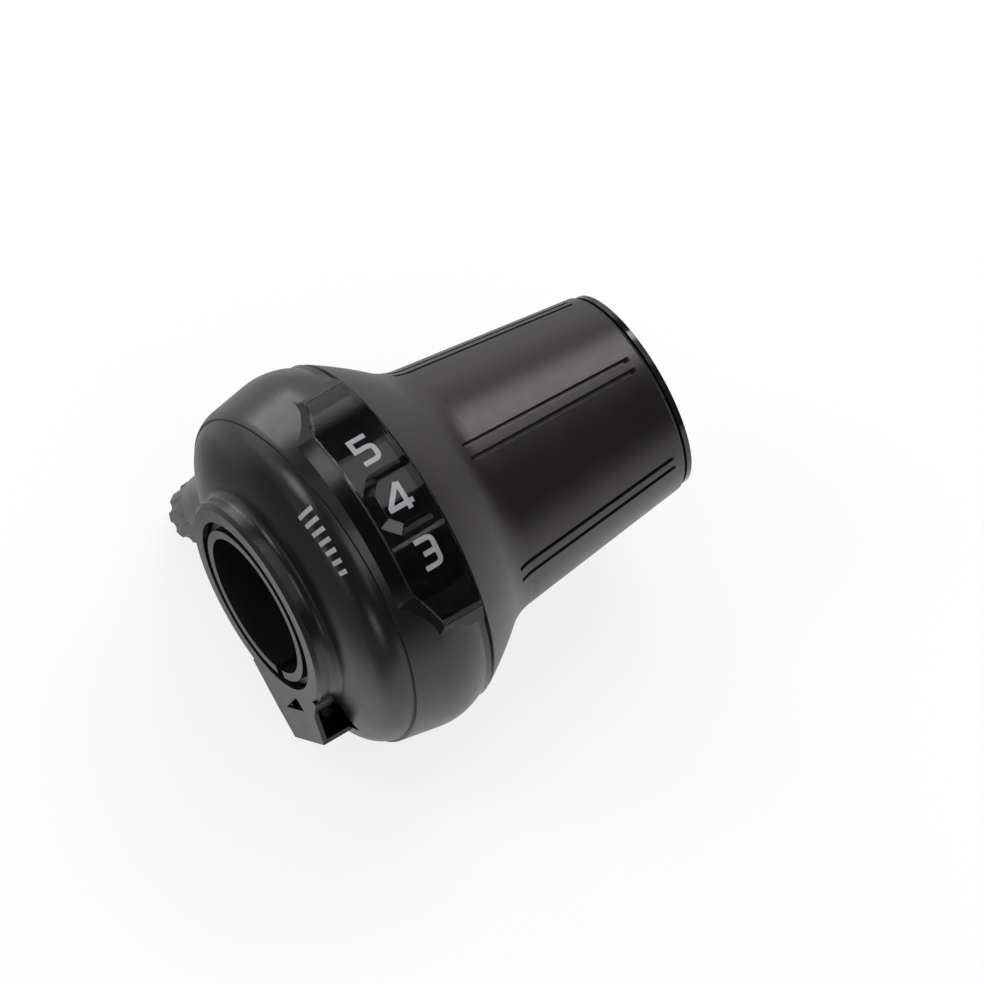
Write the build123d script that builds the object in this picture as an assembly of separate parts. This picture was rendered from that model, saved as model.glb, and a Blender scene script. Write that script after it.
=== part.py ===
from build123d import *
from math import atan2, cos, degrees, hypot, radians, sin
import os

os.makedirs("parts", exist_ok=True)

# Twist grip gear shifter for a round handlebar, right hand.
# Millimetres. X runs along the handlebar, outboard positive. Y is forward, Z is up.
# The origin is on the bar axis in the plane where the twisting grip meets the housing.
# Angles are measured about +X from +Y, so straight up is 90 degrees.

# Driving sizes
bar_diameter = 22.2
gear_count = 7
gear_step_deg = 19.5
housing_length = 22.8
grip_length = 42.4
housing_radius = 28.75

# Clearances
bar_slip = 0.05
run_gap = 0.05
seat_gap = 0.05
loose_gap = 0.1
side_gap = 0.3
dial_gap = 0.4
seam_gap = 0.4
open_past = 1.0

# Walls
sleeve_wall = 1.35
tube_wall = 1.5
band_wall = 1.0
neck_wall = 2.9
housing_wall = 3.15
dial_wall = 0.9
washer_wall = 0.6

# Clocking about the bar
window_deg = 110.0
detent_deg = window_deg + 180.0
lug_deg = 238.0
outlet_deg = 27.4
plug_deg = 250.0
crease_deg = 150.0

# Radii that follow the bar, then those that follow the housing
bore_r = bar_diameter / 2 + bar_slip
sleeve_r = bore_r + sleeve_wall
turn_r = sleeve_r + run_gap
tube_r = turn_r + tube_wall
band_in_r = sleeve_r + seat_gap
band_out_r = band_in_r + band_wall
collar_r = band_out_r + side_gap
neck_r = collar_r + neck_wall
cavity_r = housing_radius - housing_wall
dial_r = cavity_r - dial_gap
dial_in_r = dial_r - dial_wall
room = dial_in_r - tube_r

# Stations along the bar
neck_x = -housing_length
floor_x = -0.66 * housing_length
lip_x = -0.1
flange_x = lip_x + seam_gap
disc_wall = 2.0
disc_end_x = flange_x + disc_wall


def revolved(points):
    """Full turn about the bar of a closed (x, radius) outline."""
    return revolve(make_face(Polyline(*points, close=True)), axis=Axis.X, revolution_arc=360)


def turned(edges):
    """Full turn about the bar of an outline given as edges."""
    return revolve(make_face(edges), axis=Axis.X, revolution_arc=360)


def ring(inner, outer, x0, x1):
    return revolved([(x0, inner), (x1, inner), (x1, outer), (x0, outer)])


def arc_block(inner, outer, x0, x1, mid_deg, half_deg):
    """Part of a ring, centred on an angle about the bar."""
    points = [(x0, inner), (x1, inner), (x1, outer), (x0, outer)]
    face = make_face(Polyline(*points, close=True))
    return Rot(X=mid_deg - half_deg) * revolve(face, axis=Axis.X, revolution_arc=2 * half_deg)


def prism(points, x0, x1):
    """Outline across the bar as (y, z) points, extruded along it."""
    return extrude(Plane.YZ.offset(x0) * make_face(Polyline(*points, close=True)), amount=x1 - x0)


def rod_x(radius, x0, x1, y=0.0, z=0.0):
    rod = Cylinder(radius, x1 - x0, align=(Align.CENTER, Align.CENTER, Align.MIN))
    return Pos(x0, y, z) * Rot(Y=90) * rod


def rod_z(radius, z0, z1, x=0.0, y=0.0):
    return Pos(x, y, z0) * Cylinder(radius, z1 - z0, align=(Align.CENTER, Align.CENTER, Align.MIN))


def hex_z(across_flats, z0, z1, x=0.0, y=0.0):
    outline = RegularPolygon(across_flats / 2, 6, major_radius=False, rotation=30)
    return extrude(Pos(x, y, z0) * outline, amount=z1 - z0)


def block(x0, x1, y0, y1, z0, z1):
    low = (Align.MIN, Align.MIN, Align.MIN)
    return Pos(x0, y0, z0) * Box(x1 - x0, y1 - y0, z1 - z0, align=low)


def save(shape, name):
    shape.label = name
    export_step(shape, "parts/" + name + ".step")


# Bearing sleeve that slides on the bar: flanged, slit where the clamp squeezes it
sleeve_end_x = grip_length + side_gap
sleeve_flange_r = sleeve_r + 2 * tube_wall
sleeve_flange_wall = 1.2
sleeve_flange_x = floor_x - sleeve_flange_wall
sleeve_slit = 2.0
slit_end_x = sleeve_flange_x - dial_gap
snap_groove_depth = 0.55
snap_wall = 0.8
snap_inset = 1.0
snap_x = grip_length - snap_inset
snap_end_x = snap_x + snap_wall + seat_gap
snap_groove_r = sleeve_r - snap_groove_depth

bearing_sleeve = revolved([
    (neck_x, bore_r), (sleeve_end_x, bore_r), (sleeve_end_x, sleeve_r), (snap_end_x, sleeve_r),
    (snap_end_x, snap_groove_r), (snap_x, snap_groove_r), (snap_x, sleeve_r),
    (floor_x, sleeve_r), (floor_x, sleeve_flange_r),
    (sleeve_flange_x, sleeve_flange_r), (sleeve_flange_x, sleeve_r), (neck_x, sleeve_r),
])
slit_half = sleeve_slit / 2
slit = block(neck_x - open_past, slit_end_x, 0, sleeve_r + open_past, -slit_half, slit_half)
bearing_sleeve -= Rot(X=lug_deg) * slit
save(bearing_sleeve, "bearing_sleeve")

# Clamp: steel band round the sleeve with two ears, drawn together by a bolt and a square nut
band_inset = 0.2
lug_wall = 1.0
band_x0 = neck_x + lug_wall + band_inset
band_x1 = slit_end_x - band_inset
bolt_x = (band_x0 + band_x1) / 2
bolt_r = 1.5
bolt_hole_r = bolt_r + loose_gap
bolt_room = 2.2
nut_half = 2.75
nut_height = 1.8
bolt_reach = band_out_r + bolt_room + nut_half
ear_gap = 2.6
ear_wall = 1.0
ear_face = ear_gap / 2 + ear_wall
ear_tip = bolt_reach + 1.6 * bolt_r
head_r = 2.75
head_height = 3.0
head_chamfer = 0.3
socket_flats = 2.5
socket_depth = 1.6
bolt_length = 7.0

clamp_band = ring(band_in_r, band_out_r, band_x0, band_x1)
band_cut = block(band_x0, band_x1, 0, band_out_r + open_past, -ear_gap / 2, ear_gap / 2)
clamp_band -= Rot(X=lug_deg) * band_cut
ear_root = (band_in_r + band_out_r) / 2
for ear_side in (-1, 1):
    ear_mid = ear_side * (ear_gap + ear_wall) / 2
    ear = block(band_x0, band_x1, ear_root, ear_tip, ear_mid - ear_wall / 2, ear_mid + ear_wall / 2)
    ear -= rod_z(bolt_hole_r, ear_mid - ear_wall, ear_mid + ear_wall, bolt_x, bolt_reach)
    ear -= rod_x(band_in_r, band_x0, band_x1)
    clamp_band += Rot(X=lug_deg) * ear
save(clamp_band, "clamp_band")

# In the lug's own axes the bolt runs along Z: head below on the positive side, nut above
head_end = ear_face + head_height
bolt = rod_z(bolt_r, ear_face - bolt_length, ear_face, bolt_x, bolt_reach)
bolt += rod_z(head_r, ear_face, head_end, bolt_x, bolt_reach)
head_rim = bolt.edges().filter_by(GeomType.CIRCLE).sort_by(Axis.Z)[-1]
bolt = chamfer(head_rim, head_chamfer)
bolt -= hex_z(socket_flats, head_end - socket_depth, head_end, bolt_x, bolt_reach)
save(Rot(X=lug_deg) * bolt, "clamp_bolt")

nut_end = ear_face + nut_height
nut_x0 = bolt_x - nut_half
nut_x1 = bolt_x + nut_half
nut_in = bolt_reach - nut_half
nut_out = bolt_reach + nut_half
nut = block(nut_x0, nut_x1, nut_in, nut_out, -nut_end, -ear_face)
nut -= rod_z(bolt_r + run_gap, -nut_end, -ear_face, bolt_x, bolt_reach)
save(Rot(X=lug_deg) * nut, "clamp_nut")

# Housing outline: neck, foot, flared wall and shoulder as arcs that run into each other
neck_round = 0.6
foot_x = -0.914 * housing_length
wall_x = -0.853 * housing_length
split_x = -0.76 * housing_length
corner_x = -0.6 * housing_length
crown_x = -housing_length / 3
corner_drop = 1.2
crown_drop = 0.13
lip_drop = 1.5
lip_bevel = (0.3, 0.45)
crease_step = 0.42
corner_r = housing_radius - corner_drop
crown_r = housing_radius - crown_drop
lip_r = housing_radius - lip_drop
lip_top_x = lip_x - lip_bevel[0]
wall_r = neck_r + 0.11 * (corner_r - neck_r)
split_r = neck_r + 0.72 * (corner_r - neck_r)

neck_line = Polyline(
    (0, 0), (neck_x, 0), (neck_x, neck_r - neck_round), (neck_x + neck_round, neck_r), (foot_x, neck_r),
)
foot_arc = TangentArc((foot_x, neck_r), (wall_x, wall_r), tangent=(1, 0))
wall_arc = TangentArc(foot_arc @ 1, (split_x, split_r), tangent=foot_arc % 1)
shoulder_arc = TangentArc(wall_arc @ 1, (corner_x, corner_r - crease_step), tangent=wall_arc % 1)
shoulder_close = Polyline(shoulder_arc @ 1, (crown_x, corner_r), (0, corner_r), (0, 0))
shoulder = turned([neck_line, foot_arc, wall_arc, shoulder_arc, shoulder_close])

band_arc = TangentArc((split_x, split_r + crease_step / 2), (corner_x, corner_r), tangent=wall_arc % 1)
crown_line = Line(band_arc @ 1, (crown_x, crown_r))
crown_arc = TangentArc(crown_line @ 1, (lip_top_x, lip_r), tangent=crown_line % 1)
band_close = Polyline(
    crown_arc @ 1, (lip_x, lip_r - lip_bevel[1]), (lip_x, 0), (split_x, 0), band_arc @ 0,
)
band = turned([band_arc, crown_line, crown_arc, band_close])

# The band stands above the shoulder from a crease that lies in a slightly tilted plane
crease_mid_x = -0.644 * housing_length
crease_lean = 1.85
crease_tilt = degrees(atan2(crease_lean, corner_r))
keep = 3 * housing_radius
crease_plane = Pos(crease_mid_x, 0, 0) * Rot(X=crease_deg) * Rot(Z=-crease_tilt)
main_housing = shoulder + (band & (crease_plane * block(0, keep, -keep, keep, -keep, keep)))

# Clamp lug under the rider's side of the neck, outline as (reach, height below the split)
lug_nose = 6.9
lug_up = 7.5
lug_down = 6.7
lug_root = (0.83 * neck_r, 0.59 * neck_r)
lug_outline = [
    (band_out_r, lug_root[1]), (band_out_r, -lug_root[1]), (lug_root[0], -lug_root[1]),
    (bolt_reach - 0.25 * lug_nose, -lug_up), (bolt_reach + 0.52 * lug_nose, -0.94 * lug_up),
    (bolt_reach + lug_nose, 0.66 * lug_down), (bolt_reach + 0.38 * lug_nose, lug_down), lug_root,
]
main_housing += Rot(X=lug_deg) * prism(lug_outline, neck_x, sleeve_flange_x)

# Cable outlet boss, tangent to the cable drum, leaving downward and forward
cable_r = 0.6
groove_land = 1.75
drum_groove_r = tube_r + groove_land
cable_line = drum_groove_r + cable_r
spool_half = 2.0
drum_x0 = floor_x + washer_wall + seat_gap
drum_x = drum_x0 + spool_half
spool_x1 = drum_x + spool_half
boss_r = 5.0
boss_proud = 4.9
boss_end = (housing_radius ** 2 - cable_line ** 2) ** 0.5 + boss_proud
adjuster_r = 3.0
stem_length = 8.5
main_housing += Rot(X=outlet_deg) * rod_z(boss_r, -boss_end, -cable_line, drum_x, cable_line)

# Hollow inside, seat for the sleeve and recess for the clamp band
cavity_chamfer = (2.4, 3.4)
main_housing -= revolved([
    (floor_x, 0), (floor_x, cavity_r - cavity_chamfer[1]), (floor_x + cavity_chamfer[0], cavity_r),
    (open_past, cavity_r), (open_past, 0),
])
main_housing -= revolved([
    (neck_x - open_past, 0), (neck_x - open_past, collar_r + seat_gap), (slit_end_x, collar_r + seat_gap),
    (slit_end_x, band_in_r), (sleeve_flange_x, band_in_r), (sleeve_flange_x, sleeve_flange_r + seat_gap),
    (floor_x + open_past, sleeve_flange_r + seat_gap), (floor_x + open_past, 0),
])

# Pocket for the bolt head from below, slot for the ears, pocket for the nut open above
pocket_r = head_r + side_gap
pocket_end = 0.7 * housing_radius
slot_half = ear_face + seat_gap
slot_x0 = band_x0 - band_inset
slot_x1 = band_x1 + band_inset
slot_out = 2 * bolt_reach
lug_opening = [
    (bolt_reach - 0.46 * lug_nose, -0.35 * lug_up), (bolt_reach - 0.17 * lug_nose, -0.52 * lug_up),
    (bolt_reach + 0.12 * lug_nose, 0.45 * lug_down),
]
lug_cuts = rod_z(pocket_r, ear_face, pocket_end, bolt_x, bolt_reach)
lug_cuts += rod_z(bolt_hole_r, ear_face - bolt_length - side_gap, ear_face, bolt_x, bolt_reach)
lug_cuts += block(slot_x0, slot_x1, collar_r - open_past, slot_out, -slot_half, slot_half)
lug_cuts += block(
    nut_x0 - loose_gap, nut_x1 + loose_gap, nut_in - loose_gap, nut_out + loose_gap, -lug_root[1], -ear_face,
)
lug_cuts += prism(lug_opening, neck_x - open_past, slot_x0 + open_past)
main_housing -= Rot(X=lug_deg) * lug_cuts

# Holes for the cable, the adjusting barrel and the spring round its stem
cable_hole_r = 1.0
coil_wire_r = 0.35
coil_r = adjuster_r + side_gap + coil_wire_r
coil_room = 3.0
coil_floor = boss_end - coil_room
outlet_cuts = rod_z(cable_hole_r, -boss_end, 0, drum_x, cable_line)
outlet_cuts += rod_z(adjuster_r, -boss_end - open_past, stem_length - boss_end, drum_x, cable_line)
outlet_cuts += rod_z(coil_r + coil_wire_r + side_gap, -boss_end - open_past, -coil_floor, drum_x, cable_line)
main_housing -= Rot(X=outlet_deg) * outlet_cuts

# Cable access hole with its plug
plug_r = 2.6
plug_head_r = 3.8
plug_head_wall = 0.9
plug_sink = 2.1
plug_x = spool_x1 - plug_head_wall
plug_seat = housing_radius - plug_sink
plug_axis = Plane(origin=(plug_x, 0, 0), x_dir=(1, 0, 0), z_dir=(0, 1, 0))


def radial_rod(radius, reach0, reach1):
    rod = Cylinder(radius, reach1 - reach0, align=(Align.CENTER, Align.CENTER, Align.MIN))
    return Rot(X=plug_deg) * plug_axis * Pos(0, 0, reach0) * rod


main_housing -= radial_rod(plug_r + seat_gap, cavity_r - open_past, housing_radius)
main_housing -= radial_rod(plug_head_r + seat_gap, plug_seat, housing_radius + open_past)
cable_plug = radial_rod(plug_r, cavity_r + side_gap, plug_seat)
cable_plug += radial_rod(plug_head_r, plug_seat, plug_seat + plug_head_wall)
save(cable_plug, "cable_plug")

# Window: a raised frame on the housing with sloping flanks, and the lens let into it
lens_proud = 0.35
lens_shelf = 0.8
lens_r = housing_radius + lens_proud
lens_in_r = cavity_r + lens_shelf
frame_r = lens_r - loose_gap
frame_x0 = -0.42 * housing_length
frame_half_deg = 41.4
frame_corner = (2.9, 13.6)
frame_run = 2.6
frame_drops = (1.33, 1.1, 0.75)
frame_rim = 0.25
lens_edge = 0.15
magnifier_rise = 0.5
magnifier_inset = 2.1
magnifier_deg = 1.2
magnifier_half_deg = 6.9
magnifier_run = 1.6
magnifier_corner = (1.6, 3.2)
sight_half_deg = 32.0


def inset_corner(corner, reach, inset):
    """A cut corner, as (run along the bar, angle round it), after its outline has moved inwards."""
    run, turn = corner
    across = radians(turn) * reach
    share = 1 + inset * (hypot(run, across) - run - across) / (run * across)
    return run * share, turn * share


def corner_slab(side, reach, x0, half_deg, corner, run, drop):
    """Cutter at one inboard corner of an arc-shaped pad: leaning by run and drop, or upright at the run."""
    corner_run, corner_deg = corner
    across = radians(corner_deg) * reach
    span = hypot(corner_run, across)
    turn = radians(side * (half_deg - corner_deg / 2))
    radial = Vector(0, cos(turn), sin(turn))
    tangent = Vector(0, -sin(turn), cos(turn)) * side
    axial = Vector(1, 0, 0)
    along = (axial * corner_run + tangent * across) / span
    outward = (tangent * corner_run - axial * across) / span
    edge = axial * (x0 + corner_run / 2) + radial * (reach * cos(radians(corner_deg / 2)))
    size = 2 * housing_length
    slab = Box(size, size, size, align=(Align.CENTER, Align.CENTER, Align.MIN))
    if drop:
        return Plane(origin=edge, x_dir=along, z_dir=outward * drop + radial * run) * slab
    return Plane(origin=edge + outward * run, x_dir=along, z_dir=outward) * slab


def upright_pad(inner, reach, x0, x1, half_deg, corner, foot):
    """Arc-shaped pad about +Y with upright walls, a foot's width outside its top edge."""
    pad = arc_block(inner, reach, x0 - foot, x1, 0, half_deg + degrees(foot / reach))
    for side in (-1, 1):
        pad -= corner_slab(side, reach, x0, half_deg, corner, foot, 0)
    return pad


def bevelled_pad(inner, reach, x0, x1, half_deg, corner, run, drops):
    """Arc-shaped pad with flanks that drop by their own amounts at its side, corners and ends."""
    side_drop, corner_drop, end_drop = drops
    pad = upright_pad(inner, reach, x0, x1, half_deg, corner, run)
    far_x = x0 - 2 * run
    pad -= revolved([(x0, reach), (far_x, reach - 2 * side_drop), (far_x, 2 * reach), (x0, 2 * reach)])
    top = radians(half_deg)
    foot = radians(half_deg + degrees(run / reach))
    for side in (-1, 1):
        end_flank = [
            (reach * cos(top), side * reach * sin(top)),
            ((reach - end_drop) * cos(foot), side * (reach - end_drop) * sin(foot)),
            ((reach + run) * cos(foot), side * (reach + run) * sin(foot)),
        ]
        pad -= prism(end_flank, far_x, x1)
        pad -= corner_slab(side, reach, x0, half_deg, corner, run, corner_drop)
    return pad


lens_inset = frame_rim + seat_gap + lens_edge
lens_x0 = frame_x0 + lens_inset
lens_half_deg = frame_half_deg - degrees(lens_inset / frame_r)
lens_corner = inset_corner(frame_corner, frame_r, lens_inset)
window_lens = bevelled_pad(
    lens_in_r, lens_r, lens_x0, lip_x, lens_half_deg, lens_corner, lens_edge, 3 * (lens_edge,),
)
window_lens += Rot(X=magnifier_deg) * bevelled_pad(
    lens_r - loose_gap, lens_r + magnifier_rise, frame_x0 + magnifier_inset, lip_x,
    magnifier_half_deg, magnifier_corner, magnifier_run, 3 * (magnifier_rise,),
)
save(Rot(X=window_deg) * window_lens, "window_lens")

main_housing += Rot(X=window_deg) * bevelled_pad(
    lens_in_r, frame_r, frame_x0, lip_x, frame_half_deg, frame_corner, frame_run, frame_drops,
)
main_housing -= Rot(X=window_deg) * upright_pad(
    lens_in_r, lens_r, lens_x0, open_past, lens_half_deg, lens_corner, lens_edge + seat_gap,
)
sight_x0 = frame_x0 + lens_shelf
main_housing -= arc_block(cavity_r - open_past, lens_r, sight_x0, open_past, window_deg, sight_half_deg)

# Posts inside the housing: two for the detent spring's plate, two as end stops for the drum
detent_wall = 2.8
detent_x1 = spool_x1 + detent_wall
detent_r = tube_r + 0.5 * room
post_x0 = floor_x - washer_wall
post_x1 = detent_x1 + side_gap
post_r = 0.127 * room
post_offset = 0.25 * dial_in_r
post_reach = dial_in_r - 0.245 * room
screw_r = 0.54 * post_r
screw_length = 3.6
stop_r = 0.146 * room
stop_reach = dial_in_r - 0.225 * room
stop_lug_half_deg = 5.0
stop_half_deg = degrees(stop_r / stop_reach)
stop_spare_deg = 0.6
twist_deg = gear_step_deg * (gear_count - 1) / 2
stop_deg = twist_deg + stop_lug_half_deg + stop_half_deg + stop_spare_deg
for post_side in (-1, 1):
    post = rod_x(post_r, post_x0, post_x1, post_reach, post_side * post_offset)
    post -= rod_x(screw_r, post_x1 - screw_length - side_gap, post_x1, post_reach, post_side * post_offset)
    main_housing += Rot(X=detent_deg) * post
    stop = rod_x(stop_r, post_x0, detent_x1, stop_reach, 0)
    main_housing += Rot(X=window_deg + post_side * stop_deg) * stop
save(main_housing, "main_housing")

# Detent leaf spring: a strip with a nose that drops into a notch, ends under the posts
leaf = 0.4
notch_r = 1.5
notch_depth = 0.95
nose_r = detent_r - 0.8 * notch_depth
hold = post_reach - post_r - seat_gap - leaf / 2
half_strip = [
    (hold + leaf, -1.33 * post_offset), (hold, -post_offset), (hold - leaf / 2, -0.4 * post_offset),
]
other_half = [(up, -across) for up, across in reversed(half_strip)]
leaf_line = Polyline(*half_strip, (nose_r + leaf, 0), *other_half)
leaf_plane = Plane.YZ.offset(spool_x1 + band_inset)
leaf_outline = leaf_plane * offset(leaf_line, leaf / 2, kind=Kind.INTERSECTION)
detent_spring = extrude(make_face(leaf_outline.edges()), amount=detent_wall - 2 * band_inset)
save(Rot(X=detent_deg) * detent_spring, "detent_spring")

# Plate that keeps the spring in place, with its two screws
plate_wall = 0.8
plate_low = hold + loose_gap
plate_high = dial_in_r - 0.1 * room
plate_half = post_offset + 1.25 * post_r
plate_top = 0.6 * post_offset
plate_x1 = post_x1 + plate_wall
screw_head_r = 2 * screw_r
screw_head_x = plate_x1 + plate_wall
slot_depth = plate_wall / 2
slot_width = leaf
plate_outline = [
    (plate_low, -plate_half), (plate_low, plate_half), (post_reach, plate_half),
    (plate_high, plate_top), (plate_high, -plate_top), (post_reach, -plate_half),
]
spring_plate = prism(plate_outline, post_x1, plate_x1)
plate_screws = []
for screw_side in (-1, 1):
    across = screw_side * post_offset
    spring_plate -= rod_x(screw_r + loose_gap, post_x1, plate_x1, post_reach, across)
    screw = rod_x(screw_r - run_gap, post_x1 - screw_length, plate_x1, post_reach, across)
    screw += rod_x(screw_head_r, plate_x1, screw_head_x, post_reach, across)
    screw -= block(
        screw_head_x - slot_depth, screw_head_x, post_reach - screw_head_r, post_reach + screw_head_r,
        across - slot_width / 2, across + slot_width / 2,
    )
    plate_screws.append(Rot(X=detent_deg) * screw)
save(Rot(X=detent_deg) * spring_plate, "spring_plate")
save(Compound(children=plate_screws), "plate_screws")

# Cable drum: hub, grooved spool, notched detent ring, end-stop lug and drive slots
web_wall = 0.9
hub_x1 = flange_x - web_wall - seam_gap
hub_rise = 0.6
hub_r = tube_r + hub_rise
spool_rise = 2.2
spool_r = drum_groove_r + spool_rise
groove_half = 0.9
dog_depth = 3.0
dog_count = 3
dog_half_deg = 20.0
lug_top = stop_reach + 0.4 * stop_r
nipple_r = 2.2
nipple_reach = spool_r - 0.8 * nipple_r
nipple_deg = outlet_deg + 150

inner_washer = ring(turn_r, hub_r + 2 * hub_rise, floor_x, floor_x + washer_wall)
save(inner_washer, "inner_washer")

cable_drum = revolved([
    (drum_x0, turn_r), (hub_x1, turn_r), (hub_x1, hub_r), (detent_x1, hub_r), (detent_x1, detent_r),
    (spool_x1, detent_r), (spool_x1, spool_r), (drum_x + groove_half, spool_r),
    (drum_x + groove_half, drum_groove_r), (drum_x - groove_half, drum_groove_r),
    (drum_x - groove_half, spool_r), (drum_x0, spool_r),
])
cable_drum += arc_block(detent_r - notch_depth, lug_top, spool_x1, detent_x1, window_deg, stop_lug_half_deg)
for gear in range(gear_count):
    notch_deg = detent_deg + gear_step_deg * (gear - (gear_count - 1) / 2)
    notch = rod_x(notch_r, spool_x1, detent_x1, detent_r + notch_r - notch_depth, 0)
    cable_drum -= Rot(X=notch_deg) * notch
cable_drum -= Rot(X=nipple_deg) * rod_x(nipple_r, drum_x0, drum_x + groove_half, nipple_reach, 0)
for dog in range(dog_count):
    dog_deg = dog * 360 / dog_count
    cable_drum -= arc_block(sleeve_r, hub_r + hub_rise, hub_x1 - dog_depth, hub_x1, dog_deg, dog_half_deg)
save(cable_drum, "cable_drum")

# Grip tube: turns on the sleeve, carries the flange disc and drives the drum through its dogs
tube_end_x = snap_x - washer_wall - 2 * seat_gap
disc_r = cavity_r + dial_gap
dog_x0 = hub_x1 - dog_depth + seat_gap
dog_fit_deg = dog_half_deg - degrees(seat_gap / hub_r)
grip_tube = revolved([
    (hub_x1, turn_r), (tube_end_x, turn_r), (tube_end_x, tube_r), (disc_end_x, tube_r), (disc_end_x, disc_r),
    (flange_x, disc_r), (flange_x, hub_r), (hub_x1, hub_r),
])
for dog in range(dog_count):
    grip_tube += arc_block(turn_r, hub_r, dog_x0, hub_x1, dog * 360 / dog_count, dog_fit_deg)
save(grip_tube, "grip_tube")

# Gear dial: rim that carries the numbers under the lens, on a web against the flange disc
dial_x0 = frame_x0 + washer_wall
web_r = dial_in_r - 0.4 * room
web_x = flange_x - web_wall
gear_dial = revolved([
    (dial_x0, dial_in_r), (web_x, dial_in_r), (web_x, web_r), (flange_x, web_r),
    (flange_x, dial_r), (dial_x0, dial_r),
])
save(gear_dial, "gear_dial")

# Washer and snap ring that hold the grip tube on the sleeve, and the washer next to the bar grip
washer_x = tube_end_x + seat_gap
washer_out_r = tube_r - band_inset
outer_washer = ring(turn_r, washer_out_r, washer_x, washer_x + washer_wall)
save(outer_washer, "outer_washer")

snap_gap_deg = 14.0
snap_ring = ring(snap_groove_r, washer_out_r, snap_x, snap_x + snap_wall)
snap_ring -= arc_block(bore_r, tube_r, snap_x, snap_x + snap_wall, detent_deg, snap_gap_deg)
save(snap_ring, "snap_ring")

grip_end_drop = 0.55
grip_end_r = neck_r - grip_end_drop
grip_washer = ring(bore_r + side_gap, grip_end_r - dial_gap, sleeve_end_x, sleeve_end_x + snap_wall)
save(grip_washer, "grip_washer")

# Rubber grip: flange cone, waist and a long tapered sleeve with six pairs of flutes
rim_round = 0.5
rim_x = flange_x + rim_round
flange_top_r = lip_r - loose_gap
flange_slope = (1.0, -0.6)
crest_x = 8.2
crest_r = flange_top_r - 5.25
waist_x = 12.8
waist_rise = 3.6
waist_r = grip_end_r + waist_rise
end_x = grip_length - rim_round
taper_slope = (grip_end_r - waist_r) / (end_x - waist_x)
flute_pairs = 6
flute_pitch_deg = 6.6
flute_first_deg = 106.4
flute_width = 0.75
flute_depth = 0.6
flute_x0 = 11.0
flute_runout = (1.6, 0.8)
flute_x1 = grip_length - 4 * rim_round
end_bore_r = tube_r + band_inset

rubber_inside = Polyline(
    (grip_length, grip_end_r - rim_round), (grip_length, end_bore_r), (tube_end_x, end_bore_r),
    (tube_end_x, tube_r), (disc_end_x, tube_r), (disc_end_x, disc_r), (flange_x, disc_r),
    (flange_x, flange_top_r - rim_round), (rim_x, flange_top_r),
)
flange_arc = TangentArc((rim_x, flange_top_r), (crest_x, crest_r), tangent=flange_slope)
waist_arc = TangentArc(flange_arc @ 1, (waist_x, waist_r), tangent=flange_arc % 1)
taper = Polyline(waist_arc @ 1, (end_x, grip_end_r), (grip_length, grip_end_r - rim_round))
grip_rubber = turned([rubber_inside, flange_arc, waist_arc, taper])


def taper_r(x):
    return waist_r + taper_slope * (x - waist_x)


flute_top = taper_r(flute_x0) + 5 * flute_depth
flute_face = make_face(Polyline(
    (flute_x0 - flute_runout[0], flute_top), (flute_x0, taper_r(flute_x0) - flute_depth),
    (flute_x1 - flute_runout[1], taper_r(flute_x1) - flute_depth), (flute_x1, taper_r(flute_x1)),
    (flute_x1, flute_top), close=True,
))
flute = extrude(flute_face, amount=flute_width / 2, both=True)
for pair in range(flute_pairs):
    for flute_side in (-1, 1):
        flute_deg = flute_first_deg + pair * 360 / flute_pairs + flute_side * flute_pitch_deg / 2
        grip_rubber -= Rot(X=flute_deg) * flute
save(grip_rubber, "grip_rubber")

# Adjusting barrel in the cable outlet: fluted head, socket for the cable casing
casing_r = 2.6
casing_depth = 7.0
barrel_head_r = 4.8
barrel_head_length = 9.5
barrel_chamfer = 0.6
barrel_flutes = 10
barrel_flute_r = 0.9
head_top = boss_end + side_gap
head_foot = head_top + barrel_head_length
outlet_axis = Rot(X=outlet_deg) * Pos(drum_x, cable_line, 0)
barrel_head = rod_z(barrel_head_r, -head_foot, -head_top)
barrel_rims = barrel_head.edges().filter_by(GeomType.CIRCLE)
barrel_head = chamfer(barrel_rims, barrel_chamfer)
for flute_at in PolarLocations(barrel_head_r + 0.4 * barrel_flute_r, barrel_flutes):
    barrel_head -= flute_at * rod_z(barrel_flute_r, -head_foot, -head_top)
barrel = barrel_head + rod_z(adjuster_r - run_gap, -head_top, stem_length - boss_end - seam_gap)
barrel -= rod_z(casing_r, -head_foot, casing_depth - head_foot)
barrel -= rod_z(cable_hole_r, -head_foot, 0)
save(outlet_axis * barrel, "barrel_adjuster")

# Coil spring round the barrel's stem, between the barrel's head and the boss
coil_turns = 3
coil_low = -head_top + coil_wire_r + seat_gap
coil_high = -coil_floor - coil_wire_r - seat_gap
coil_height = coil_high - coil_low
coil = Pos(0, 0, coil_low) * Helix(coil_height / coil_turns, coil_height, coil_r)
coil_start = Plane(origin=coil @ 0, z_dir=coil % 0)
barrel_spring = sweep(coil_start * Circle(coil_wire_r), path=coil)
save(outlet_axis * barrel_spring, "barrel_spring")
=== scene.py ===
import math

import bpy
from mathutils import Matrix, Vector
from mathutils.bvhtree import BVHTree


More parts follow.
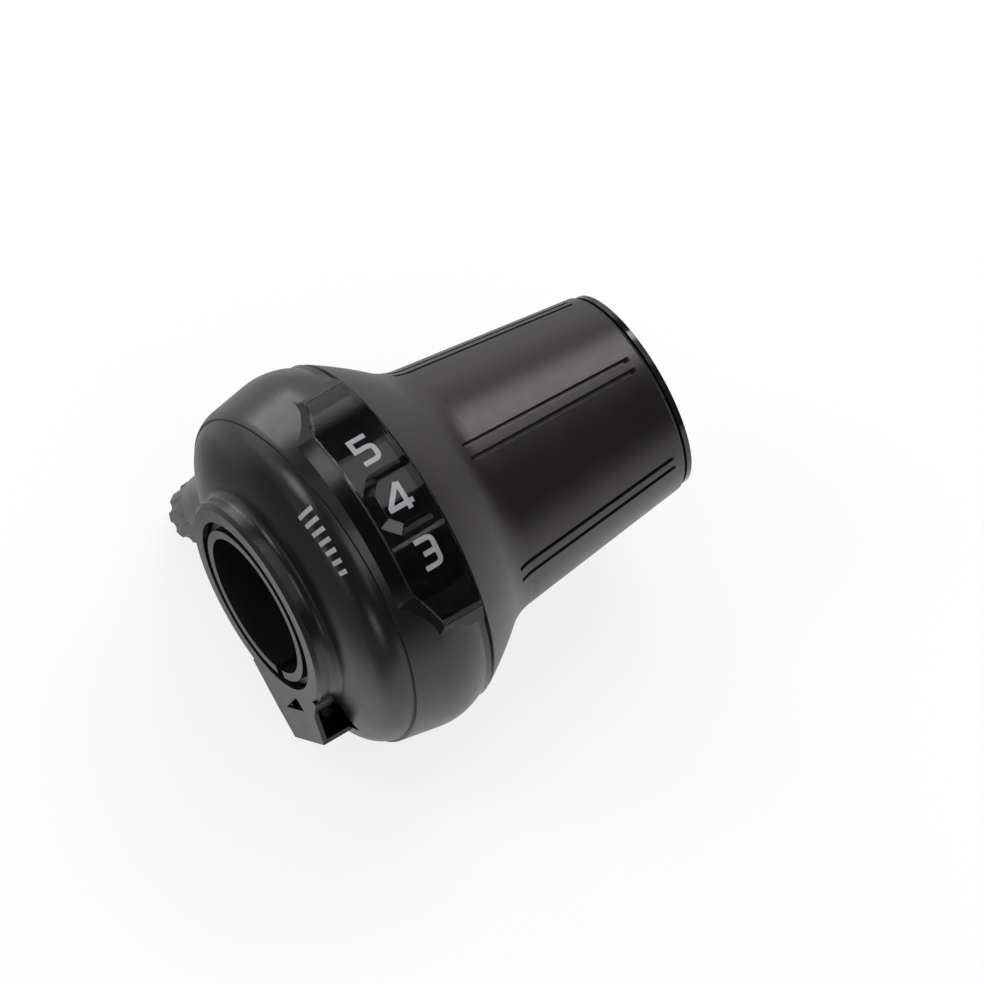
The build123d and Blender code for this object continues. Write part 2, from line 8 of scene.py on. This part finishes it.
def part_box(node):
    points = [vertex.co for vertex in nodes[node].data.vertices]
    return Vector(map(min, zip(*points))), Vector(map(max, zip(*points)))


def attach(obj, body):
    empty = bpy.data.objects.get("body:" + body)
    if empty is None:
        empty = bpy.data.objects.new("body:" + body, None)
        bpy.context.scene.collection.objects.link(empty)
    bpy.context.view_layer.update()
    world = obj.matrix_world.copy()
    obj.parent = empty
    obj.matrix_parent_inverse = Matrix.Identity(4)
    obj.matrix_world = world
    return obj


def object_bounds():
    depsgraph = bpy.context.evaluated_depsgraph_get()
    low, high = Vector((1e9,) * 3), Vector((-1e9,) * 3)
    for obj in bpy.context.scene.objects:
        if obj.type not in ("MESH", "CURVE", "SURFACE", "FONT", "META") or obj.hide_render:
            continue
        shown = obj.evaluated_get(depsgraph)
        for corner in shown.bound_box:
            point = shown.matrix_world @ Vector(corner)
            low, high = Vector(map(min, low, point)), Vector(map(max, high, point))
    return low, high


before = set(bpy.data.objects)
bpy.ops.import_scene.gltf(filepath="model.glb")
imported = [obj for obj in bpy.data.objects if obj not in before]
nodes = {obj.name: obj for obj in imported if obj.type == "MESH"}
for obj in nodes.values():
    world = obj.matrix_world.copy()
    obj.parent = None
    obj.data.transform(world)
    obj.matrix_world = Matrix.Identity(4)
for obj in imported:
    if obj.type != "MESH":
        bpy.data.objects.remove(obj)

cad_low, cad_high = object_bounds()
collection = bpy.context.scene.collection

# Lengths are in metres, and those written in millimetres are multiplied by MM
MM = 0.001
WHITE = (1.0, 1.0, 1.0, 1.0)


# Node trees, used for the materials, the floor and the world

def set_inputs(node, values):
    """Sets a node's inputs by name; an underscore in a name stands for a space."""
    for socket, value in values.items():
        node.inputs[socket.replace("_", " ")].default_value = value


class Tree:
    """A node tree with short ways to add and link nodes."""

    def __init__(self, tree):
        self.tree = tree

    def add(self, kind, operation=None, **inputs):
        node = self.tree.nodes.new(kind)
        if operation:
            node.operation = operation
        set_inputs(node, inputs)
        return node

    def link(self, source, target):
        self.tree.links.new(source, target)

    def ranged(self, value, start, end, low, high, smooth=False):
        """Maps a value from start..end to low..high."""
        node = self.add("ShaderNodeMapRange", From_Min=start, From_Max=end, To_Min=low, To_Max=high)
        if smooth:
            node.interpolation_type = "SMOOTHSTEP"
        self.link(value, node.inputs["Value"])
        return node.outputs["Result"]

    def combined(self, operation, first, second):
        node = self.add("ShaderNodeMath", operation)
        self.link(first, node.inputs[0])
        self.link(second, node.inputs[1])
        return node.outputs["Value"]

    def against(self, operation, vector, fixed):
        """A number from a vector and a fixed one: their dot product or distance."""
        node = self.add("ShaderNodeVectorMath", operation)
        node.inputs[1].default_value = fixed
        self.link(vector, node.inputs[0])
        return node.outputs["Value"]

    def mixed(self, share, first, second):
        """The first shader where share is 0, the second where it is 1."""
        node = self.add("ShaderNodeMixShader")
        self.link(share, node.inputs["Fac"])
        self.link(first, node.inputs[1])
        self.link(second, node.inputs[2])
        return node.outputs["Shader"]


class Surface(Tree):
    """A material with one Principled shader, given detail in the object's own metres."""

    # Noise rarely leaves this range, so it is stretched from here to the values wanted
    NOISE_LOW, NOISE_HIGH = 0.3, 0.7
    EDGE_SAMPLES = 6
    EVEN = (1.0, 1.0, 1.0)

    def __init__(self, name, **constants):
        self.material = bpy.data.materials.new(name)
        self.material.use_nodes = True
        super().__init__(self.material.node_tree)
        self.shader = self.tree.nodes["Principled BSDF"]
        set_inputs(self.shader, constants)
        self.place = self.add("ShaderNodeTexCoord").outputs["Object"]
        self.base_colour = None
        self.gloss = None
        self.normal = None

    def noise(self, size_mm, detail=2.0, rough=0.5, stretch=EVEN):
        """Noise whose features are about that many millimetres across."""
        node = self.add("ShaderNodeTexNoise", Scale=1.0 / (size_mm * MM), Detail=detail, Roughness=rough)
        stretched = self.add("ShaderNodeMapping", Scale=stretch)
        self.link(self.place, stretched.inputs["Vector"])
        self.link(stretched.outputs["Vector"], node.inputs["Vector"])
        return node.outputs["Fac"]

    def colour(self, value, dark, light):
        ramp = self.add("ShaderNodeValToRGB")
        ends = ((self.NOISE_LOW, dark), (self.NOISE_HIGH, light))
        for element, (position, tone) in zip(ramp.color_ramp.elements, ends):
            element.position = position
            element.color = (*tone, 1.0)
        self.link(value, ramp.inputs["Fac"])
        self.paint(ramp.outputs["Color"])

    def paint(self, colour):
        self.base_colour = colour
        self.link(colour, self.shader.inputs["Base Color"])

    def scaled_colour(self, factor):
        """Multiplies the colour so far by a value that varies over the surface."""
        node = self.add("ShaderNodeVectorMath", "SCALE")
        self.link(self.base_colour, node.inputs[0])
        self.link(factor, node.inputs["Scale"])
        self.paint(node.outputs["Vector"])

    def roughness(self, value, middle, spread):
        self.gloss = self.ranged(value, self.NOISE_LOW, self.NOISE_HIGH, middle - spread, middle + spread)
        self.link(self.gloss, self.shader.inputs["Roughness"])

    def bend(self, normal):
        self.normal = normal
        self.link(normal, self.shader.inputs["Normal"])

    def soft_edges(self, radius_mm):
        node = self.add("ShaderNodeBevel", Radius=radius_mm * MM)
        node.samples = self.EDGE_SAMPLES
        self.bend(node.outputs["Normal"])

    def bump(self, value, height_mm):
        node = self.add("ShaderNodeBump", Distance=height_mm * MM)
        self.link(value, node.inputs["Height"])
        if self.normal:
            self.link(self.normal, node.inputs["Normal"])
        self.bend(node.outputs["Normal"])


# Materials

COOL_TINT, WARM_TINT, WARM_SHINE = (1.0, 1.0, 1.02), (1.22, 1.0, 1.07), (1.0, 0.94, 0.955, 1.0)
DRAWN_ALONG_BAR = (0.15, 1.0, 1.0)


def tones(dark, light, tint=COOL_TINT):
    """Two colours of one tint, from a dark and a light grey."""
    return [tuple(grey * part for part in tint) for grey in (dark, light)]


def moulded(name, dark, light, rough, grain_mm=0.22, grain_height_mm=0.002, edge_mm=0.12, shine=0.5):
    """Moulded plastic: spark-eroded grain, slow drift of tone and gloss, softened edges."""
    surface = Surface(name, IOR=1.55, Specular_IOR_Level=shine)
    surface.colour(surface.noise(size_mm=9.0, detail=3.0), *tones(dark, light))
    surface.roughness(surface.noise(size_mm=3.0, detail=4.0), middle=rough, spread=0.03)
    surface.soft_edges(edge_mm)
    surface.bump(surface.noise(grain_mm, detail=3.0, rough=0.6), grain_height_mm)
    return surface


def metal(name, dark, light, rough, stretch=Surface.EVEN):
    """Plated or blackened steel with handling marks, and drawing lines where it is stretched."""
    surface = Surface(name, Metallic=1.0)
    surface.colour(surface.noise(size_mm=2.5, detail=4.0), *tones(dark, light))
    surface.roughness(surface.noise(size_mm=0.5, detail=4.0, stretch=stretch), middle=rough, spread=0.08)
    surface.soft_edges(radius_mm=0.08)
    surface.bump(surface.noise(size_mm=0.12, stretch=stretch), height_mm=0.002)
    return surface


def rubber(name, dark, light, rough, grain_mm, grain_height_mm):
    """Soft-touch rubber: fine open grain, and patches that are more rubbed than others."""
    surface = Surface(name, IOR=1.52, Specular_Tint=WARM_SHINE, Sheen_Weight=0.04, Sheen_Roughness=0.5)
    surface.colour(surface.noise(size_mm=7.0, detail=4.0), *tones(dark, light, WARM_TINT))
    surface.roughness(surface.noise(size_mm=1.6, detail=5.0), middle=rough, spread=0.02)
    surface.soft_edges(radius_mm=0.1)
    surface.bump(surface.noise(grain_mm, detail=4.0, rough=0.65), grain_height_mm)
    return surface


def ink(name, dark, light):
    """Printed ink, a little uneven in tone and gloss."""
    surface = Surface(name, IOR=1.5)
    surface.colour(surface.noise(size_mm=0.6, detail=4.0), *tones(dark, light))
    surface.roughness(surface.noise(size_mm=0.3, detail=3.0), middle=0.525, spread=0.075)
    surface.bump(surface.noise(size_mm=0.08), height_mm=0.002)
    return surface


def clear(name, dark, light):
    """Clear plastic with a faint ripple and fine wear."""
    surface = Surface(name, IOR=1.49, Transmission_Weight=1.0)
    surface.colour(surface.noise(size_mm=6.0), *tones(dark, light))
    surface.roughness(surface.noise(size_mm=1.2, detail=4.0), middle=0.035, spread=0.015)
    surface.soft_edges(radius_mm=0.12)
    surface.bump(surface.noise(size_mm=2.5, detail=1.0), height_mm=0.0001)
    return surface


# The dullness is the roughness in the well, and also the share of the colour that is taken away there as
# painted shade
WELL_SHADE_AND_DULLNESS, WELL_BLUR_MM = 0.85, 0.1
ACROSS_BAR = (0.0, 1.0, 1.0)


def paint_well_shade(surface, radius_mm, from_x_mm):
    """Paints shade on the housing under the lens, darkening it to dull black: near the bar's axis and
    outboard of a station.
    """
    rim, start, blur = radius_mm * MM, from_x_mm * MM, WELL_BLUR_MM * MM
    parts = surface.add("ShaderNodeSeparateXYZ")
    surface.link(surface.place, parts.inputs["Vector"])
    across = surface.add("ShaderNodeVectorMath", "MULTIPLY")
    across.inputs[1].default_value = ACROSS_BAR
    surface.link(surface.place, across.inputs[0])
    reach = surface.add("ShaderNodeVectorMath", "LENGTH")
    surface.link(across.outputs["Vector"], reach.inputs[0])
    within = surface.ranged(reach.outputs["Value"], rim - blur, rim + blur, WELL_SHADE_AND_DULLNESS, 0.0)
    outboard = surface.ranged(parts.outputs["X"], start - blur, start + blur, 0.0, 1.0)
    well = surface.combined("MULTIPLY", within, outboard)
    # Painted shade: the colour is darkened in the well under the lens
    surface.scaled_colour(surface.ranged(well, 0.0, 1.0, 1.0, 0.0))
    dull = surface.combined("MAXIMUM", well, surface.gloss)
    surface.link(dull, surface.shader.inputs["Roughness"])


housing_plastic = moulded("housing_finish", dark=0.0070, light=0.0095, rough=0.29)
# Painted shade under the lens: the housing is darkened in its well
paint_well_shade(housing_plastic, radius_mm=26.9, from_x_mm=-9.7)
# Painted shade: the frame's flanks are darker in colour than the housing, as well as glossier
frame_polish_and_shade = moulded("frame_polish_and_shade_finish", dark=0.0025, light=0.0040, rough=0.21, edge_mm=0.05, shine=0.28)
barrel_plastic = moulded("barrel_finish", dark=0.0070, light=0.0095, rough=0.33)
sleeve_plastic = moulded("sleeve_finish", dark=0.0080, light=0.0105, rough=0.30, edge_mm=0.08)
drum_plastic = moulded("drum_finish", dark=0.045, light=0.060, rough=0.36, edge_mm=0.08)
dial_plastic = moulded("dial_finish", dark=0.0020, light=0.0030, rough=0.60, shine=0.1)
washer_plastic = moulded("washer_finish", dark=0.50, light=0.58, rough=0.40, edge_mm=0.05)
gloss_trim = moulded(
    "trim_finish", dark=0.006, light=0.009, rough=0.12, grain_mm=0.8, grain_height_mm=0.001, edge_mm=0.08,
)
grip_rubber = rubber(
    "grip_finish", dark=0.0065, light=0.0090, rough=0.36, grain_mm=0.16, grain_height_mm=0.003,
)
plug_rubber = rubber(
    "plug_finish", dark=0.0110, light=0.0145, rough=0.50, grain_mm=0.2, grain_height_mm=0.004,
)
plated_steel = metal("plated_finish", dark=0.50, light=0.62, rough=0.30, stretch=DRAWN_ALONG_BAR)
dark_steel = metal("blackened_finish", dark=0.020, light=0.035, rough=0.36)
number_ink = ink("number_finish", dark=0.78, light=0.88)
bar_ink = ink("bar_finish", dark=0.26, light=0.33)
clear_lens = clear("lens_finish", dark=0.80, light=0.86)

finishes = {
    "main_housing": housing_plastic, "bearing_sleeve": sleeve_plastic, "clamp_band": dark_steel,
    "clamp_bolt": dark_steel, "clamp_nut": dark_steel, "window_lens": clear_lens,
    "detent_spring": plated_steel, "spring_plate": plated_steel, "plate_screws": plated_steel,
    "inner_washer": washer_plastic, "outer_washer": washer_plastic, "snap_ring": plated_steel,
    "grip_washer": gloss_trim, "cable_plug": plug_rubber, "grip_tube": drum_plastic,
    "cable_drum": drum_plastic, "gear_dial": dial_plastic, "grip_rubber": grip_rubber,
    "barrel_adjuster": barrel_plastic, "barrel_spring": plated_steel,
}


def dress(obj, surface):
    obj.data.materials.clear()
    obj.data.materials.append(surface.material)


for node_name, finish in finishes.items():
    dress(nodes[node_name], finish)


# The raised frame round the window is polished, and its darker colour is painted shade: its faces lean
# away from the housing's round skin

FRAME_START_X_MM, FRAME_LOW_DEG, FRAME_HIGH_DEG = -12.3, 60.0, 160.0
# How far a frame face's normal leans: outward at least, and inboard or round the bar at least
FRAME_OUTWARD, FRAME_INBOARD, FRAME_ROUND = 0.8, 0.33, 0.15
ALONG_BAR = Vector((1.0, 0.0, 0.0))


def is_frame_flank(face):
    middle = face.center
    outward = Vector((0.0, middle.y, middle.z)).normalized()
    around = ALONG_BAR.cross(outward)
    turn_deg = math.degrees(math.atan2(middle.z, middle.y))
    beside_window = middle.x > FRAME_START_X_MM * MM and FRAME_LOW_DEG < turn_deg < FRAME_HIGH_DEG
    slopes = face.normal.x < -FRAME_INBOARD or abs(face.normal.dot(around)) > FRAME_ROUND
    return beside_window and slopes and face.normal.dot(outward) > FRAME_OUTWARD


housing_mesh = nodes["main_housing"].data
frame_index = len(housing_mesh.materials)
housing_mesh.materials.append(frame_polish_and_shade.material)
# The frame's flank faces take the polished finish whose darker colour is painted shade
for face in housing_mesh.polygons:
    if is_frame_flank(face):
        face.material_index = frame_index


# The lens and its ledge touch, so the lens is drawn a hair smaller to keep the two faces apart

LENS_CLEARANCE_MM = 0.005
hair = nodes["window_lens"].modifiers.new("hair", "DISPLACE")
hair.mid_level = 0.0
hair.strength = -LENS_CLEARANCE_MM * MM


# Printed marks: flat strokes laid on a surface of the part, in millimetres

PRINT_STEP, ARC_STEPS = 0.3, 8
# At a sharp corner a mitre reaches at most half the stroke's width over this
LEAST_MITRE = 0.5
SECTION_CORNERS = 4


def rounded_path(corners, radius):
    """Points along straight runs between corners (u, v, is_round)."""
    points = []
    for index, (u, v, is_round) in enumerate(corners):
        here = Vector((u, v))
        if not is_round:
            points.append(here)
            continue
        before = (Vector(corners[index - 1][:2]) - here).normalized()
        after = (Vector(corners[index + 1][:2]) - here).normalized()
        start, end = here + before * radius, here + after * radius
        for part in range(ARC_STEPS + 1):
            t = part / ARC_STEPS
            points.append(start * (1 - t) ** 2 + here * 2 * t * (1 - t) + end * t ** 2)
    path = [points[0]]
    for point in points[1:]:
        first = path[-1]
        run = point - first
        pieces = max(1, round(run.length / PRINT_STEP))
        for piece in range(pieces):
            path.append(first + run * (piece + 1) / pieces)
    return path


def stroke_sides(path, width):
    """Left and right edge of a stroke of even width along a path."""
    left, right = [], []
    for index, point in enumerate(path):
        ahead = path[min(index + 1, len(path) - 1)] - point
        behind = point - path[max(index - 1, 0)]
        directions = [d.normalized() for d in (ahead, behind) if d.length > 0]
        middle = sum(directions, Vector((0, 0))).normalized()
        across = Vector((-middle.y, middle.x))
        reach = width / 2 / max(LEAST_MITRE, middle.dot(directions[0]))
        left.append(point + across * reach)
        right.append(point - across * reach)
    return left, right


def stroke_mesh(strokes, lay):
    """Vertices and faces of closed strokes; lay(u, v, top) gives a point on or under the surface."""
    verts, faces = [], []
    for left, right in strokes:
        first = len(verts)
        for a, b in zip(left, right):
            verts += [lay(*a, True), lay(*b, True), lay(*b, False), lay(*a, False)]
        last = len(verts) - SECTION_CORNERS
        for low in range(first, last, SECTION_CORNERS):
            high = low + SECTION_CORNERS
            for side in range(SECTION_CORNERS):
                after = (side + 1) % SECTION_CORNERS
                faces.append((low + side, low + after, high + after, high + side))
        faces.append(tuple(reversed(range(first, first + SECTION_CORNERS))))
        faces.append(tuple(range(last, last + SECTION_CORNERS)))
    return verts, faces


def printed(name, strokes, lay, surface, body):
    verts, faces = stroke_mesh(strokes, lay)
    mesh = bpy.data.meshes.new(name)
    mesh.from_pydata(verts, [], faces)
    mesh.update()
    obj = bpy.data.objects.new(name, mesh)
    collection.objects.link(obj)
    dress(obj, surface)
    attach(obj, body)


# Numbers 1 to 7 on the dial: strokes through corners (across, up, is_round) of a unit square

ROUND, SHARP = True, False
GLYPHS = {
    1: [[(0.15, 0.78, SHARP), (0.62, 1, SHARP), (0.62, 0, SHARP)]],
    2: [[(0, 1, SHARP), (1, 1, ROUND), (1, 0.52, ROUND), (0, 0.52, ROUND), (0, 0, SHARP), (1, 0, SHARP)]],
    3: [[(0, 1, SHARP), (1, 1, ROUND), (1, 0, ROUND), (0, 0, SHARP)],
        [(0.22, 0.5, SHARP), (0.95, 0.5, SHARP)]],
    4: [[(0.84, 0, SHARP), (0.84, 1.04, SHARP)],
        [(0.80, 1.04, SHARP), (-0.22, 0.27, SHARP)],
        [(-0.3, 0.24, SHARP), (1.2, 0.24, SHARP)]],
    5: [[(0.98, 1, SHARP), (0, 1, SHARP), (0, 0.56, SHARP), (1, 0.56, ROUND), (1, 0, ROUND),
         (0, 0, SHARP)]],
    6: [[(0.95, 1, SHARP), (0, 1, ROUND), (0, 0, ROUND), (1, 0, ROUND), (1, 0.54, ROUND),
         (0.05, 0.54, SHARP)]],
    7: [[(0, 1, SHARP), (1, 1, SHARP), (0.35, 0, SHARP)]],
}
GLYPH_MIDDLE = 0.5
NUMBER_WIDTH, NUMBER_HEIGHT, NUMBER_STROKE, NUMBER_ROUND = 2.7, 4.05, 0.76, 0.9
NUMBER_TOP, NUMBER_SINK = 0.04, 0.03
NUMBER_X, NUMBERS_MID_DEG, GEAR_STEP_DEG, MIDDLE_GEAR = -3.6, 110.5, 19.5, 4
dial_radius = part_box("gear_dial")[1].z / MM


def number_strokes(gear):
    strokes = []
    for path in GLYPHS[gear]:
        corners = [
            ((u - GLYPH_MIDDLE) * NUMBER_WIDTH, (v - GLYPH_MIDDLE) * NUMBER_HEIGHT, is_round)
            for u, v, is_round in path
        ]
        strokes.append(stroke_sides(rounded_path(corners, NUMBER_ROUND), NUMBER_STROKE))
    return strokes


def on_dial(gear):
    """Lays (u along the bar, v round it) on the dial at a gear's place."""
    mid_deg = NUMBERS_MID_DEG - (gear - MIDDLE_GEAR) * GEAR_STEP_DEG

    def lay(u, v, top):
        reach = (dial_radius + (NUMBER_TOP if top else -NUMBER_SINK)) * MM
        turn = math.radians(mid_deg) - v / dial_radius
        return Vector(((NUMBER_X + u) * MM, reach * math.cos(turn), reach * math.sin(turn)))

    return lay


for gear in GLYPHS:
    name = f"dial_number_{gear}"
    printed(name, number_strokes(gear), on_dial(gear), number_ink, "twist_grip")


# Seven bars on the shoulder, one for each gear, each shorter than the last

BARS_X, BARS_FIRST_DEG, BARS_LAST_DEG = -16.2, 99.5, 122.0
BAR_SHORT, BAR_LONG, BAR_STROKE = 0.95, 2.0, 0.45
BAR_TOP, BAR_SINK, SEEK_FROM = 0.03, 0.04, 60.0
housing_skin = BVHTree.FromObject(nodes["main_housing"], bpy.context.evaluated_depsgraph_get())


def on_shoulder(mid_deg):
    """Lays (u along the bar, v round it) on the housing's skin, sought from outside towards the axis."""
    def lay(u, v, top):
        turn = math.radians(mid_deg) - v / abs(BARS_X)
        radial = Vector((0, math.cos(turn), math.sin(turn)))
        start = Vector(((BARS_X + u) * MM, 0, 0)) + radial * SEEK_FROM * MM
        point, normal, _, _ = housing_skin.ray_cast(start, -radial)
        return point + normal * (BAR_TOP if top else -BAR_SINK) * MM

    return lay


for bar in range(len(GLYPHS)):
    share = bar / (len(GLYPHS) - 1)
    mid_deg = BARS_FIRST_DEG + (BARS_LAST_DEG - BARS_FIRST_DEG) * share
    bar_half = (BAR_LONG + (BAR_SHORT - BAR_LONG) * share) / 2
    path = rounded_path([(-bar_half, 0, SHARP), (bar_half, 0, SHARP)], radius=0)
    strokes = [stroke_sides(path, BAR_STROKE)]
    printed(f"gear_bar_{bar + 1}", strokes, on_shoulder(mid_deg), bar_ink, "housing")


# Camera at the photograph's angle

VIEW_AZIMUTH_DEG, VIEW_ELEVATION_DEG, VIEW_DISTANCE = -34.2238, 58.08, 1.2
AIM = Vector((15.592, -4.747, 3.017)) * MM
IMAGE_PIXELS, FOCAL_PIXELS, SENSOR_MM = 984, 8220, 36.0
CLIP_START, CLIP_END = 0.05, 20.0
azimuth, elevation = math.radians(VIEW_AZIMUTH_DEG), math.radians(VIEW_ELEVATION_DEG)
towards_camera = Vector((
    math.sin(azimuth) * math.cos(elevation),
    -math.cos(azimuth) * math.cos(elevation),
    math.sin(elevation),
))
camera_data = bpy.data.cameras.new("camera")
camera_data.sensor_width = SENSOR_MM
camera_data.lens = SENSOR_MM * FOCAL_PIXELS / IMAGE_PIXELS
camera_data.clip_start, camera_data.clip_end = CLIP_START, CLIP_END
camera = bpy.data.objects.new("camera", camera_data)
camera.location = AIM + towards_camera * VIEW_DISTANCE
camera.rotation_euler = (math.pi / 2 - elevation, 0.0, azimuth)
collection.objects.link(camera)
bpy.context.scene.camera = camera


# Floor: nearly white to the camera, with a soft shadow

FLOOR_SIZE, FLOOR_DROP, FLOOR_TONE, FLOOR_GLOW = 6.0, 0.0002, 0.90, 0.8
half, floor_z = FLOOR_SIZE / 2, cad_low.z - FLOOR_DROP
floor_mesh = bpy.data.meshes.new("floor")
floor_mesh.from_pydata(
    [(-half, -half, floor_z), (half, -half, floor_z), (half, half, floor_z), (-half, half, floor_z)],
    [], [(0, 1, 2, 3)],
)
floor = bpy.data.objects.new("floor", floor_mesh)
collection.objects.link(floor)

# How bright the floor is in a mirror: two stations and the level at each, along Y
FRONT_FADE = (-0.50, -0.18, 0.6, 1.0)
BACK_FADE = (-0.02, 0.06, 1.0, 0.58)
# Its shade towards the inboard end, along X, and where that shade ends, along a slanted line
BAR_SHADE = (-0.075, -0.042, 0.2, 1.0)
BAR_SHADE_END, BAR_SHADE_SLANT = (-0.03, 0.03, 0.0, 1.0), (0.9, 1.0, 0.0)
# Painted shadows on it, by X and Y: inner radius, outer radius and the level inside
FLOOR_SHADOW_SPOTS = {
    (0.0, 0.0): (0.020, 0.047, 0.6),
    (-0.042, 0.048): (0.010, 0.026, 0.35),
    (-0.080, -0.250): (0.060, 0.120, 0.05),
    (0.460, -0.450): (0.150, 0.350, 0.3),
}
floor_paint = bpy.data.materials.new("floor_paint")
floor_paint.use_nodes = True
ground = Tree(floor_paint.node_tree)
ground.tree.nodes.clear()
spot = ground.add("ShaderNodeTexCoord").outputs["Object"]
along = ground.add("ShaderNodeSeparateXYZ")
ground.link(spot, along.inputs["Vector"])
slant = ground.against("DOT_PRODUCT", spot, BAR_SHADE_SLANT)
bar_shade = ground.ranged(along.outputs["X"], *BAR_SHADE)
level = ground.combined("MAXIMUM", bar_shade, ground.ranged(slant, *BAR_SHADE_END))
for fade in (FRONT_FADE, BACK_FADE):
    level = ground.combined("MULTIPLY", level, ground.ranged(along.outputs["Y"], *fade))
# Painted shadows: the floor's mirror image is darker round each spot
for (x, y), (inner, outer, inside) in FLOOR_SHADOW_SPOTS.items():
    away = ground.against("DISTANCE", spot, (x, y, floor_z))
    level = ground.combined("MULTIPLY", level, ground.ranged(away, inner, outer, inside, 1.0))
mirrored = ground.add("ShaderNodeEmission")
ground.link(level, mirrored.inputs["Strength"])
matt = ground.add("ShaderNodeBsdfDiffuse", Color=(FLOOR_TONE, FLOOR_TONE, FLOOR_TONE, 1.0))
glow = ground.add("ShaderNodeEmission")
floor_ray = ground.add("ShaderNodeLightPath").outputs
seen = ground.ranged(floor_ray["Is Camera Ray"], 0.0, 1.0, 0.0, FLOOR_GLOW)
shown = ground.mixed(seen, matt.outputs[0], glow.outputs[0])
floor_look = ground.mixed(floor_ray["Is Glossy Ray"], shown, mirrored.outputs[0])
floor_out = ground.add("ShaderNodeOutputMaterial")
ground.link(floor_look, floor_out.inputs["Surface"])
floor_mesh.materials.append(floor_paint)


# World: white to the camera, even fill after a matt bounce, and else a bright low wall under a dark room

FILL_STRENGTH = 0.55
# Height is measured along a leaning line: the wall is full up to its top, and the room starts higher
HEIGHT_LEAN, WALL_TOP, ROOM_START, ROOM_LEVEL = (-0.03, -0.5, 1.0), 0.0, 0.36, 0.02
# Patches of the wall, by direction, and their level; how near to that direction they start and are full
WALL_PATCHES = {(-0.85, 0.53, 0.0): 0.25, (-0.80, -0.60, 0.1): 0.1, (-1.0, 0.0, 0.08): 1.7}
PATCH_EDGE, PATCH_CORE = 0.88, 0.96
world = bpy.data.worlds.new("studio")
world.cycles.sampling_method = "NONE"
world.use_nodes = True
bpy.context.scene.world = world
sky = Tree(world.node_tree)
sky.tree.nodes.clear()
direction = sky.add("ShaderNodeTexCoord").outputs["Generated"]
height = sky.against("DOT_PRODUCT", direction, HEIGHT_LEAN)
wall = sky.ranged(height, WALL_TOP, ROOM_START, 1.0, ROOM_LEVEL, smooth=True)
for middle, inside in WALL_PATCHES.items():
    nearness = sky.against("DOT_PRODUCT", direction, middle)
    wall = sky.combined("MULTIPLY", wall, sky.ranged(nearness, PATCH_EDGE, PATCH_CORE, 1.0, inside))
room = sky.add("ShaderNodeBackground", Color=WHITE)
sky.link(wall, room.inputs["Strength"])
fill = sky.add("ShaderNodeBackground", Color=WHITE, Strength=FILL_STRENGTH)
white = sky.add("ShaderNodeBackground", Color=WHITE)
sky_ray = sky.add("ShaderNodeLightPath").outputs
after_matt = sky.ranged(sky_ray["Diffuse Depth"], 0.0, 1.0, 0.0, 1.0)
lit = sky.mixed(after_matt, room.outputs[0], fill.outputs[0])
sky_look = sky.mixed(sky_ray["Is Camera Ray"], lit, white.outputs[0])
world_out = sky.add("ShaderNodeOutputWorld")
sky.link(sky_look, world_out.inputs["Surface"])


# Softboxes: direction from the part, level width, length across it, radiance

SOFTBOX_DISTANCE = 0.9
SOFTBOXES = {
    "outboard_softbox": ((0.53, 0.25, 0.81), 0.50, 0.28, 6.4),
    "overhead_softbox": ((0.185, 0.03, 0.95), 0.56, 0.34, 0.80),
    "rider_softbox": ((0.02, -0.52, 0.86), 0.24, 0.42, 2.4),
    "rider_low_softbox": ((-0.60, -0.79, 0.12), 0.25, 0.20, 2.2),
    "inboard_softbox": ((-0.54, 0.40, 0.74), 0.28, 0.34, 4.0),
    "lens_strip": ((0.29, -0.60, 0.745), 0.12, 0.030, 1.0),
    "lens_spot": ((-0.13, -0.76, 0.64), 0.10, 0.07, 2.4),
    "back_softbox": ((0.10, 0.956, 0.276), 0.25, 0.42, 2.1),
    "back_strip": ((0.03, 0.833, 0.552), 0.19, 0.11, 4.5),
}


def softbox(name, towards, width, length, radiance):
    """A soft light that faces the part and that the camera doesn't see."""
    data = bpy.data.lights.new(name, "AREA")
    data.shape = "RECTANGLE"
    data.size, data.size_y = width, length
    data.energy = radiance * math.pi * width * length
    obj = bpy.data.objects.new(name, data)
    outward = Vector(towards).normalized()
    obj.location = outward * SOFTBOX_DISTANCE
    obj.rotation_euler = outward.to_track_quat("Z", "Y").to_euler()
    obj.visible_camera = False
    collection.objects.link(obj)


for name, settings in SOFTBOXES.items():
    softbox(name, *settings)

bpy.context.scene.view_settings.view_transform = "Standard"
